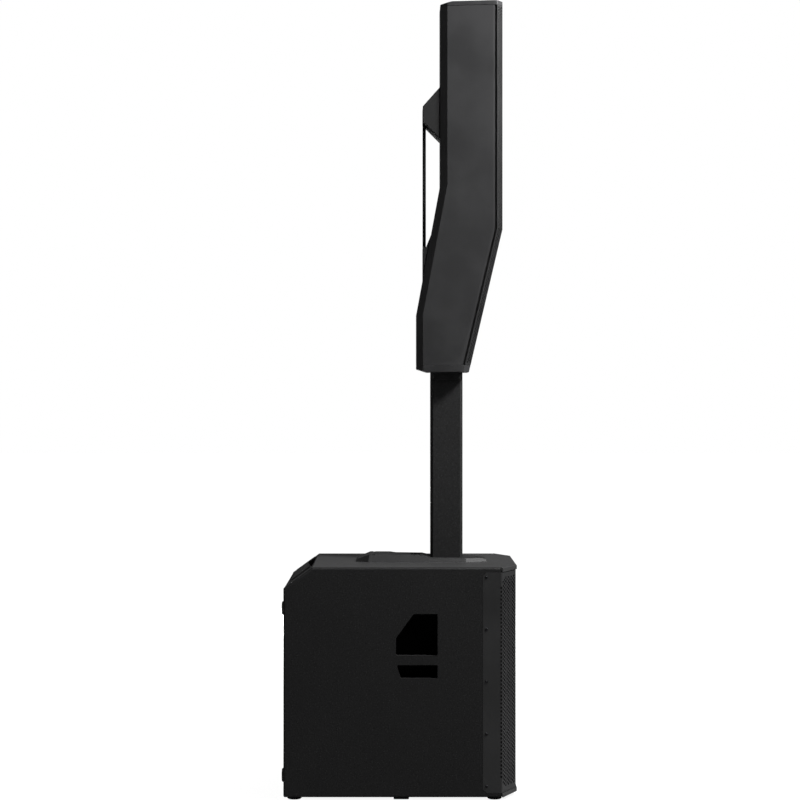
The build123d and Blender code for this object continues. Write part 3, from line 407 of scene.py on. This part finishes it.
def build_materials():
    return {
        "textured_paint": speckled_paint(
            "structured_paint", (0.0089, 0.0089, 0.0092), 0.66, 420.0, 0.00022, 0.26
        ),
        "cap_paint": speckled_paint("cap_paint", (0.03, 0.03, 0.0305), 0.42, 900.0, 0.00008, 0.5),
        "raw_board": sawn_board("stained_board", (0.02, 0.018, 0.016)),
        "port_plastic": moulded_plastic("cup_plastic", (0.0012, 0.0012, 0.0012), 0.9, specular=0.05),
        "handle_plastic": moulded_plastic("handle_plastic", (0.0068, 0.0068, 0.007), 0.6, specular=0.3),
        "grille_metal": satin_paint("grille_coat", (0.019, 0.019, 0.0195), 0.45),
        "foam": acoustic_foam("acoustic_foam", (0.004, 0.004, 0.004)),
        "black_steel": bare_metal("black_zinc", (0.03, 0.03, 0.032), 0.42),
        "rubber": rubber("rubber", (0.006, 0.006, 0.006)),
        "cast_frame": satin_paint("frame_enamel", (0.02, 0.02, 0.02), 0.45),
        "magnet": bare_metal("ferrite", (0.08, 0.08, 0.08), 0.6),
        "paper_cone": paper("coated_paper", (0.012, 0.012, 0.012)),
        "amp_metal": satin_paint("amp_coat", (0.016, 0.016, 0.017), 0.42),
        "heatsink": bare_metal("black_anodised", (0.03, 0.03, 0.032), 0.38, (1.0, 1.0, 0.08)),
        "circuit_board": printed_board("solder_mask", (0.01, 0.06, 0.025)),
        "board_parts": moulded_plastic("sleeved_parts", (0.03, 0.03, 0.04), 0.4),
        "metal_posts": bare_metal("zinc_plate", (0.5, 0.5, 0.5), 0.35),
        "socket_plastic": moulded_plastic("socket_plastic", (0.009, 0.009, 0.009), 0.4, 1400.0, 0.00004),
        "contact_metal": bare_metal("gilt_contact", (0.8, 0.6, 0.28), 0.25),
        "base_plastic": moulded_plastic("base_plastic", (0.0125, 0.0125, 0.013), 0.55, specular=0.35),
        "pole_metal": speckled_paint("pole_coat", (0.0095, 0.0095, 0.0098), 0.6, 520.0, 0.0001, 0.32),
        "collar_plastic": moulded_plastic("collar_plastic", (0.014, 0.014, 0.0145), 0.5),
        "column_shell": satin_paint("column_coat", (0.033, 0.033, 0.034), 0.42),
        "column_caps": moulded_plastic("column_cap_plastic", (0.033, 0.033, 0.034), 0.42),
        "rim_plastic": moulded_plastic("rim_plastic", (0.03, 0.03, 0.031), 0.5),
        "lamp_green": lamp_lens("lamp_green", (0.1, 0.8, 0.25)),
        "lamp_amber": lamp_lens("lamp_amber", (0.9, 0.4, 0.05)),
        "dial_print": satin_paint("dial_print", (0.55, 0.55, 0.55), 0.6),
    }


# ---------------------------------------------------------------- mesh helpers

weld_distance = 0.01 * MM
flat_angle = 0.4
smooth_angle = 32.0
bevel_segments = 3
bevel_angle = 20.0
crease_angle = 34.0
flats_weight = 80
same_point_digits = 6
turned_points = 24
tiny = 1e-9


def add_object(name, mesh, material, body):
    piece = bpy.data.objects.new(name, mesh)
    bpy.context.collection.objects.link(piece)
    mesh.materials.clear()
    mesh.materials.append(materials[material])
    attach(piece, body)
    return piece


def smooth_by_angle(mesh, degrees):
    mesh.shade_smooth()
    mesh.set_sharp_from_angle(angle=math.radians(degrees))


def welded(node):
    """Mesh of a CAD node with its doubled points joined."""
    bm = bmesh.new()
    bm.from_mesh(frame["nodes"][node].data)
    bmesh.ops.remove_doubles(bm, verts=bm.verts, dist=weld_distance)
    return bm


def simplified(node):
    """Mesh of a CAD node with the triangles of each flat face joined."""
    bm = welded(node)
    bmesh.ops.dissolve_limit(bm, angle_limit=math.radians(flat_angle), verts=bm.verts, edges=bm.edges)
    return bm


def piece_for(name, bm, node, material=None):
    """Finish a bmesh as a piece in one CAD node's body and slot."""
    mesh = bpy.data.meshes.new(name)
    bm.normal_update()
    bm.to_mesh(mesh)
    bm.free()
    smooth_by_angle(mesh, smooth_angle)
    return add_object(name, mesh, material or slot_of[node], body_of[node])


def settle(piece):
    """Make what the modifiers do to a piece part of its mesh."""
    seen = piece.evaluated_get(bpy.context.evaluated_depsgraph_get())
    settled = bpy.data.meshes.new_from_object(seen)
    piece.modifiers.clear()
    piece.data = settled


def soften(node, width):
    """Copy of a CAD node with rounded edges, shown in the node's place."""
    bm = simplified(node)
    mesh = bpy.data.meshes.new(node + "_soft")
    bm.to_mesh(mesh)
    bm.free()
    piece = add_object(node + "_soft", mesh, slot_of[node], body_of[node])
    rounding = piece.modifiers.new("rounding", "BEVEL")
    rounding.width = width
    rounding.segments = bevel_segments
    rounding.limit_method = "ANGLE"
    rounding.angle_limit = math.radians(bevel_angle)
    rounding.use_clamp_overlap = True
    rounding.miter_outer = "MITER_ARC"
    settle(piece)
    smooth_by_angle(piece.data, crease_angle)
    flats = piece.modifiers.new("flats", "WEIGHTED_NORMAL")
    flats.weight = flats_weight
    flats.keep_sharp = True
    settle(piece)
    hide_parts(node)


def clip_polygon(points, a, b, c):
    """Part of a convex polygon where a * u + b * v is at most c."""
    kept = []
    for p, q in zip(points, points[1:] + points[:1]):
        p_past = a * p[0] + b * p[1] - c
        q_past = a * q[0] + b * q[1] - c
        if p_past <= 0:
            kept.append(p)
        if p_past * q_past < 0:
            share = p_past / (p_past - q_past)
            kept.append((p[0] + share * (q[0] - p[0]), p[1] + share * (q[1] - p[1])))
    return kept if len(kept) > 2 else []


def hexagon(u, v, corner):
    turns = [math.pi / 3 * k for k in range(6)]
    return [(u + corner * math.cos(turn), v + corner * math.sin(turn)) for turn in turns]


def perforated_polygons(u_reach, v_low, v_high, pitch, hole, holed, shift=0.0):
    """Convex polygons of a sheet with staggered hexagonal holes where holed(u, v) says so.

    Hole is the width between flats, and shift moves the rows up.
    """
    column = pitch * math.sqrt(3) / 2
    columns = int(u_reach / column) + 2
    rows = int((v_high - v_low) / pitch) + 3
    polygons = []
    for i in range(-columns, columns + 1):
        u = i * column
        for j in range(-1, rows):
            v = v_low + shift + (j + 0.5 * (i % 2)) * pitch
            outer = hexagon(u, v, pitch / math.sqrt(3))
            if not holed(u, v):
                polygons.append(outer)
                continue
            inner = hexagon(u, v, hole / math.sqrt(3))
            for k in range(6):
                after = (k + 1) % 6
                polygons.append([outer[k], outer[after], inner[after], inner[k]])
    return polygons


def cut_polygons(polygons, limits):
    """Trim polygons to every half plane (a, b, c) in limits."""
    for a, b, c in limits:
        polygons = [kept for kept in (clip_polygon(p, a, b, c) for p in polygons) if kept]
    return polygons


def split_at(polygons, folds):
    """Split polygons along every fold line u = constant."""
    for fold in folds:
        halves = []
        for polygon in polygons:
            us = [p[0] for p in polygon]
            if min(us) < fold < max(us):
                halves += [clip_polygon(polygon, 1, 0, fold), clip_polygon(polygon, -1, 0, -fold)]
            else:
                halves.append(polygon)
        polygons = [p for p in halves if p]
    return polygons


def thick_sheet(bm, polygons, place, thickness):
    """Closed sheet: the polygons in front, their copy behind, and walls round every edge."""
    index = {}
    flat = []

    def number(point):
        key = (round(point[0], same_point_digits), round(point[1], same_point_digits))
        if key not in index:
            index[key] = len(flat)
            flat.append(key)
        return index[key]

    faces = []
    for polygon in polygons:
        loop = []
        for point in polygon:
            n = number(point)
            if not loop or loop[-1] != n:
                loop.append(n)
        if loop[0] == loop[-1]:
            loop.pop()
        if len(loop) > 2:
            faces.append(loop)
    front = [bm.verts.new(place(u, v, 0.0)) for u, v in flat]
    back = [bm.verts.new(place(u, v, thickness)) for u, v in flat]
    directed = {(a, b) for loop in faces for a, b in zip(loop, loop[1:] + loop[:1])}
    for loop in faces:
        bm.faces.new([front[n] for n in loop])
        bm.faces.new([back[n] for n in reversed(loop)])
    for a, b in directed:
        if (b, a) not in directed:
            bm.faces.new([front[b], front[a], back[a], back[b]])
    bmesh.ops.recalc_face_normals(bm, faces=bm.faces)


class FoldedLine:
    """A bent line with rounded corners, measured along its outer side from the middle."""

    def __init__(self, corners, radius, thickness, steps):
        self.outer = []
        self.inner = []
        for i, corner in enumerate(corners):
            point = Vector(corner)
            if i in (0, len(corners) - 1):
                other = Vector(corners[1] if i == 0 else corners[-2])
                along = (other - point).normalized() * (1 if i == 0 else -1)
                self.add(point, Vector((-along.y, along.x)), thickness)
                continue
            before = (point - Vector(corners[i - 1])).normalized()
            after = (Vector(corners[i + 1]) - point).normalized()
            turn = before.angle(after)
            side = -1 if before.cross(after) < 0 else 1
            start = point - before * radius * math.tan(turn / 2)
            centre = start + Vector((-before.y, before.x)) * radius * side
            for k in range(steps + 1):
                spoke = Matrix.Rotation(side * turn * k / steps, 2) @ (start - centre)
                self.add(centre + spoke, -spoke.normalized() * side, thickness)
        lengths = [0.0]
        for p, q in zip(self.outer, self.outer[1:]):
            lengths.append(lengths[-1] + (q - p).length)
        self.reach = lengths[-1] / 2
        self.stations = [length - self.reach for length in lengths]

    def add(self, point, inward, thickness):
        self.outer.append(point)
        self.inner.append(point + inward * thickness)

    def at(self, u, inside):
        line = self.inner if inside else self.outer
        for low, high, p, q in zip(self.stations, self.stations[1:], line, line[1:]):
            if u <= high + tiny:
                return p + (q - p) * min(1.0, max(0.0, (u - low) / (high - low)))
        return line[-1]


def ring(bm, local, radius, height, sides):
    """Ring of vertices about local Z; with sides it follows a polygon of that many sides."""
    made = []
    for k in range(turned_points):
        turn = 2 * math.pi * k / turned_points
        reach = radius
        if sides:
            sector = math.pi / sides
            reach = radius * math.cos(sector) / math.cos((turn % (2 * sector)) - sector)
        point = Vector((reach * math.cos(turn), reach * math.sin(turn), height))
        made.append(bm.verts.new(local @ point))
    return made


def bridge(bm, lower, upper):
    """Walls between two loops with equally many vertices."""
    for k in range(len(lower)):
        after = (k + 1) % len(lower)
        bm.faces.new([lower[k], lower[after], upper[after], upper[k]])


def lathe(bm, local, profile):
    """Closed turned body from (radius, height, sides) rings."""
    rings = [ring(bm, local, radius, height, sides) for radius, height, sides in profile]
    for lower, upper in zip(rings, rings[1:]):
        bridge(bm, lower, upper)
    bm.faces.new(list(reversed(rings[0])))
    bm.faces.new(rings[-1])


def facing(place, normal):
    """Local frame at a place whose Z looks along normal."""
    turned = Vector(normal).to_track_quat("Z", "Y").to_matrix().to_4x4()
    return Matrix.Translation(Vector(place)) @ turned


def socket_screw(bm, place, normal, radius, height, shank):
    """Pan head with a hexagonal socket, and the top of its shank."""
    recess = radius * 0.5
    profile = [
        (radius * 0.45, -shank, None),
        (radius * 0.45, 0.0, None),
        (radius * 0.98, 0.0, None),
        (radius, height * 0.12, None),
        (radius * 0.98, height * 0.5, None),
        (radius * 0.86, height * 0.82, None),
        (radius * 0.7, height, None),
        (recess * 1.08, height, 6),
        (recess, height * 0.94, 6),
        (recess * 0.96, height * 0.3, 6),
        (recess * 0.2, height * 0.22, 6),
    ]
    lathe(bm, facing(place, normal), profile)


# ---------------------------------------------------------------- cabinet grille

cabinet_hole_pitch = 9.46 * MM
cabinet_hole = 6.6 * MM
cabinet_sheet = 1.5 * MM
flange_corner = 9.0 * MM
grille_flat_half = 143.0 * MM
flange_width = 46.6 * MM
cabinet_bend_radius = 4.0 * MM
cabinet_bend_steps = 4
hole_past_bend = 7.0 * MM
hole_border = 12.0 * MM
hole_corner_slope = 0.75
hole_corner_reach = 20.5 * MM


def build_cabinet_grille():
    """Perforated sheet that wraps round the front corners onto the cabinet's sides."""
    low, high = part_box("front_grille")
    bend_y = high.y - flange_width
    right_half = [(grille_flat_half, low.y), (high.x, bend_y), (high.x, high.y)]
    left_half = [(-x, y) for x, y in reversed(right_half)]
    line = FoldedLine(left_half + right_half, cabinet_bend_radius, cabinet_sheet, cabinet_bend_steps)
    hole_reach = line.reach - flange_width + hole_past_bend

    def holed(u, v):
        aside = hole_reach - abs(u)
        above = min(v - low.z, high.z - v) - hole_border
        in_corner = aside + hole_corner_slope * above <= hole_corner_reach
        return aside > 0 and above > 0 and not in_corner

    def place(u, v, depth):
        point = line.at(u, depth > 0)
        return Vector((point.x, point.y, v))

    shift = ((high.z - low.z) % cabinet_hole_pitch) / 2
    polygons = perforated_polygons(
        line.reach, low.z, high.z, cabinet_hole_pitch, cabinet_hole, holed, shift
    )
    limits = [(1, 0, line.reach), (-1, 0, line.reach), (0, 1, high.z), (0, -1, -low.z)]
    for side in (1, -1):
        limits.append((side, 1, line.reach + high.z - flange_corner))
        limits.append((side, -1, line.reach - low.z - flange_corner))
    polygons = split_at(cut_polygons(polygons, limits), line.stations[1:-1])
    bm = bmesh.new()
    thick_sheet(bm, polygons, place, cabinet_sheet)
    piece = piece_for("cabinet_grille_mesh", bm, "front_grille")
    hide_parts("front_grille")


# ---------------------------------------------------------------- column grille

column_hole_pitch = 7.7 * MM
column_hole = 5.3 * MM
column_sheet = 1.2 * MM
column_groove = 6.5 * MM
column_grille_depth = 14.0 * MM
column_nose_half = 47.5 * MM
column_bend_z = 1423.0 * MM
column_bend_radius = 2.5 * MM
column_bend_steps = 3
column_hole_border = 4.0 * MM


def column_front(z, ahead, edge_y, slope):
    """Y of a layer that runs in front of the column's bent front edge."""
    upright = edge_y - ahead
    leaning = edge_y - ahead / math.cos(slope) + (column_bend_z - z) * math.tan(slope)
    return max(upright, leaning) if z < column_bend_z else upright


def column_front_slope():
    """Y of the column's upright front edge, and the lean of the edge below the bend."""
    low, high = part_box("column_grille")
    edge_y = low.y + column_grille_depth + column_groove
    return edge_y, math.atan2(high.y - edge_y + column_groove, column_bend_z - low.z)


def build_column_grille():
    """Perforated sheet round the column's nose, in two halves that meet at the bend."""
    low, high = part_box("column_grille")
    edge_y, slope = column_front_slope()
    nose = column_groove + column_grille_depth
    right_half = [(column_nose_half, -nose), (high.x, -column_groove)]
    left_half = [(-x, y) for x, y in reversed(right_half)]
    line = FoldedLine(left_half + right_half, column_bend_radius, column_sheet, column_bend_steps)
    bend = column_bend_z - nose * math.tan(slope / 2)

    def holed(u, v):
        inside_u = line.reach - abs(u) > column_hole_border
        return inside_u and low.z + column_hole_border < v < high.z - column_hole_border

    def place(u, v, depth):
        point = line.at(u, depth > 0)
        return Vector((point.x, column_front(v, -point.y, edge_y, slope), v))

    polygons = perforated_polygons(line.reach, low.z, high.z, column_hole_pitch, column_hole, holed)
    limits = [(1, 0, line.reach), (-1, 0, line.reach), (0, 1, high.z), (0, -1, -low.z)]
    polygons = split_at(cut_polygons(polygons, limits), line.stations[1:-1])
    halves = {"upper": [(0, -1, -bend)], "lower": [(0, 1, bend)]}
    for half, limit in halves.items():
        bm = bmesh.new()
        thick_sheet(bm, cut_polygons(polygons, limit), place, column_sheet)
        piece = piece_for(f"column_grille_{half}", bm, "column_grille")
        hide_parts("column_grille")


# ---------------------------------------------------------------- foam

foam_rounds = 4
foam_edge = 12.0 * MM
foam_dip = 0.4 * MM
foam_ripple = (190, 170)
foam_swell = (71, 93)
foam_swell_share = 0.5


def build_foam(node):
    """Foam layer with an uneven face."""
    bm = simplified(node)
    bmesh.ops.triangulate(bm, faces=bm.faces)
    for _ in range(foam_rounds):
        long_edges = [e for e in bm.edges if e.calc_length() > foam_edge]
        bmesh.ops.subdivide_edges(bm, edges=long_edges, cuts=1)
        bmesh.ops.triangulate(bm, faces=bm.faces)
    for vertex in bm.verts:
        x = vertex.co.x
        z = vertex.co.z
        ripple = math.sin(x * foam_ripple[0]) * math.sin(z * foam_ripple[1])
        swell = foam_swell_share * math.sin(x * foam_swell[0] + z * foam_swell[1])
        vertex.co.y += foam_dip * (1 + foam_swell_share + ripple + swell)
    piece = piece_for(node + "_layer", bm, node)
    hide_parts(node)


# ---------------------------------------------------------------- screws

flange_head_r = 3.6 * MM
flange_head = 1.6 * MM
flange_shank = 6.0 * MM
base_head = 4.0 * MM
woofer_head = 3.0 * MM
short_shank = 0.5 * MM
round_tolerance = 0.2 * MM
upward_above_z = 300.0 * MM
amp_head_r = 3.8 * MM
amp_head = 2.2 * MM
amp_shank = 3.0 * MM
bracket_head_r = 3.6 * MM
bracket_head = 1.4 * MM
bracket_shank = 4.0 * MM
bracket_screw_x = 26.0 * MM
bracket_back_run = 44.4 * MM
bracket_back_rise = 50.0 * MM
bracket_screw_shares = (0.3, 0.7)


def islands(node):
    """Boxes of the separate solids in a CAD node, as (low, high) corners."""
    bm = welded(node)
    waiting = set(bm.verts)
    boxes = []
    while waiting:
        stack = [waiting.pop()]
        members = []
        while stack:
            vertex = stack.pop()
            members.append(vertex.co.copy())
            for edge in vertex.link_edges:
                other = edge.other_vert(vertex)
                if other in waiting:
                    waiting.remove(other)
                    stack.append(other)
        low = Vector([min(p[i] for p in members) for i in range(3)])
        high = Vector([max(p[i] for p in members) for i in range(3)])
        boxes.append((low, high))
    bm.free()
    return sorted(boxes, key=lambda box: tuple(round(c, 4) for c in box[0]))


def build_grille_screws():
    bm = bmesh.new()
    for low, high in islands("grille_screws"):
        middle = (low + high) / 2
        side = 1 if low.x > 0 else -1
        seat = high.x - flange_head if side > 0 else low.x + flange_head
        place = (seat, middle.y, middle.z)
        socket_screw(bm, place, (side, 0, 0), flange_head_r, flange_head, flange_shank)
    piece = piece_for("grille_screws_detail", bm, "grille_screws")
    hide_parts("grille_screws")


def build_cabinet_screws():
    """Foot, skid, pole base and woofer screws; each head looks along its short axis."""
    bm = bmesh.new()
    for low, high in islands("cabinet_screws"):
        size = high - low
        middle = (low + high) / 2
        radius = size.x / 2
        if abs(size.x - size.y) < round_tolerance:
            upward = middle.z > upward_above_z
            height = base_head if upward else size.z
            seat = high.z - height if upward else high.z
            place = (middle.x, middle.y, seat)
            normal = (0, 0, 1 if upward else -1)
            shank = size.z - height + short_shank
        else:
            rearward = middle.y > 0
            height = size.y if rearward else woofer_head
            seat = low.y if rearward else low.y + height
            place = (middle.x, seat, middle.z)
            normal = (0, 1 if rearward else -1, 0)
            shank = short_shank
        socket_screw(bm, place, normal, radius, height, shank)
    piece = piece_for("cabinet_screws_detail", bm, "cabinet_screws")
    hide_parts("cabinet_screws")


def build_amp_screws():
    bm = bmesh.new()
    for low, high in islands("amp_screws"):
        middle = (low + high) / 2
        place = (middle.x, high.y - amp_head, middle.z)
        socket_screw(bm, place, (0, 1, 0), amp_head_r, amp_head, amp_shank)
    piece = piece_for("amp_screws_detail", bm, "amp_screws")
    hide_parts("amp_screws")


def build_bracket_screws():
    """Four screws through the upper bracket's sloping back into the column."""
    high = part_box("column_top_bracket")[1]
    bm = bmesh.new()
    back_slope = math.atan2(bracket_back_rise, bracket_back_run)
    normal = (0, math.sin(back_slope), math.cos(back_slope))
    for x in (-bracket_screw_x, bracket_screw_x):
        for share in bracket_screw_shares:
            y = high.y - share * bracket_back_run
            z = high.z - (1 - share) * bracket_back_rise
            socket_screw(bm, (x, y, z), normal, bracket_head_r, bracket_head, bracket_shank)
    screws = piece_for("bracket_screws", bm, "column_top_bracket", "black_steel")


# ---------------------------------------------------------------- rear panel details

lamp_middle_x = 120.0 * MM
lamp_spread = 12.0 * MM
lamp_rise = 12.0 * MM
lamp_r = 2.5 * MM
lamp_flatness = 0.6
lamp_profile_angles = (0, 25, 50, 70, 85)
lamp_root = 1.0 * MM
tick_count = 11
tick_step = 30
first_tick = -60
long_tick_every = 5
dial_r = 11.8 * MM
long_tick = 3.2 * MM
short_tick = 2.0 * MM
tick_half_width = 0.35 * MM
tick_height = 0.12 * MM
pointer_start = 2.0 * MM
pointer_end = 7.5 * MM
pointer_half_width = 0.6 * MM
pointer_height = 0.15 * MM


def build_lamp(name, x, material):
    """Small domed signal lamp on the amplifier plate."""
    low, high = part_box("amp_plate")
    place = facing((x, high.y, low.z + lamp_rise), (0, 1, 0))
    profile = [(lamp_r, -lamp_root, None)]
    for degrees in lamp_profile_angles:
        turn = math.radians(degrees)
        profile.append((lamp_r * math.cos(turn), lamp_r * lamp_flatness * math.sin(turn), None))
    bm = bmesh.new()
    lathe(bm, place, profile)
    piece = piece_for(name, bm, "amp_plate", material)


def add_bar(bm, start, end, half_width, rise):
    """Small raised bar between two points."""
    corners = [start - half_width, end - half_width, end + half_width, start + half_width]
    floor = [bm.verts.new(c) for c in corners]
    roof = [bm.verts.new(c + rise) for c in corners]
    bm.faces.new(floor)
    bm.faces.new(list(reversed(roof)))
    bridge(bm, floor, roof)
    bmesh.ops.recalc_face_normals(bm, faces=bm.faces)


def build_dial_marks(centre):
    """Printed ticks round the level knob."""
    face_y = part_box("connector_plate")[1].y
    bm = bmesh.new()
    for k in range(tick_count):
        turn = math.radians(first_tick + tick_step * k)
        along = Vector((math.cos(turn), 0, math.sin(turn)))
        across = Vector((-math.sin(turn), 0, math.cos(turn)))
        start = Vector((centre.x, face_y, centre.z)) + along * dial_r
        end = start + along * (long_tick if k % long_tick_every == 0 else short_tick)
        add_bar(bm, start, end, across * tick_half_width, Vector((0, tick_height, 0)))
    marks = piece_for("dial_ticks", bm, "connector_plate", "dial_print")


def build_pointer(centre, face_y):
    """Printed line on the level knob, which turns with it."""
    bm = bmesh.new()
    start = Vector((centre.x, face_y, centre.z + pointer_start))
    end = Vector((centre.x, face_y, centre.z + pointer_end))
    add_bar(bm, start, end, Vector((pointer_half_width, 0, 0)), Vector((0, pointer_height, 0)))
    pointer = piece_for("knob_pointer", bm, "level_knob", "dial_print")


def build_dial():
    knob_low, knob_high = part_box("level_knob")
    centre = (knob_low + knob_high) / 2
    build_dial_marks(centre)
    build_pointer(centre, knob_high.y)


# ---------------------------------------------------------------- assembly

# Width of the rounding of each node's edges, in millimetres.
soft_edges = {
    "top_panel": 1.2,
    "bottom_panel": 1.2,
    "side_panel_left": 0.8,
    "side_panel_right": 0.8,
    "rear_panel": 1.2,
    "rear_corner_panel": 1.2,
    "rear_handle_cup": 1.0,
    "hand_cup_left": 1.0,
    "hand_cup_right": 1.0,
    "rubber_feet": 1.0,
    "rear_carry_handle": 1.2,
    "amp_plate": 0.5,
    "connector_plate": 0.4,
    "amp_heatsink": 0.4,
    "power_inlet": 0.5,
    "link_sockets": 0.4,
    "input_sockets": 0.4,
    "power_switch_frame": 0.4,
    "power_switch_rocker": 0.4,
    "level_knob": 0.3,
    "pole_base": 1.4,
    "release_latch": 0.8,
    "pole_tube": 0.8,
    "pole_foot": 0.8,
    "pole_collar": 0.9,
    "column_housing": 1.4,
    "column_top_cap": 1.6,
    "column_bottom_cap": 1.6,
    "column_socket": 0.4,
    "column_rim": 0.4,
    "column_top_bracket": 1.5,
    "column_bottom_bracket": 1.5,
    "column_grip": 1.2,
}

build_studio()
materials = build_materials()
for node, item in frame["nodes"].items():
    item.data.materials.clear()
    item.data.materials.append(materials[slot_of[node]])
for node, width in soft_edges.items():
    soften(node, width * MM)
build_cabinet_grille()
build_column_grille()
build_foam("grille_foam")
build_foam("column_foam")
build_grille_screws()
build_cabinet_screws()
build_amp_screws()
build_bracket_screws()
build_lamp("lamp_power", lamp_middle_x - lamp_spread, "lamp_green")
build_lamp("lamp_limit", lamp_middle_x + lamp_spread, "lamp_amber")
build_dial()
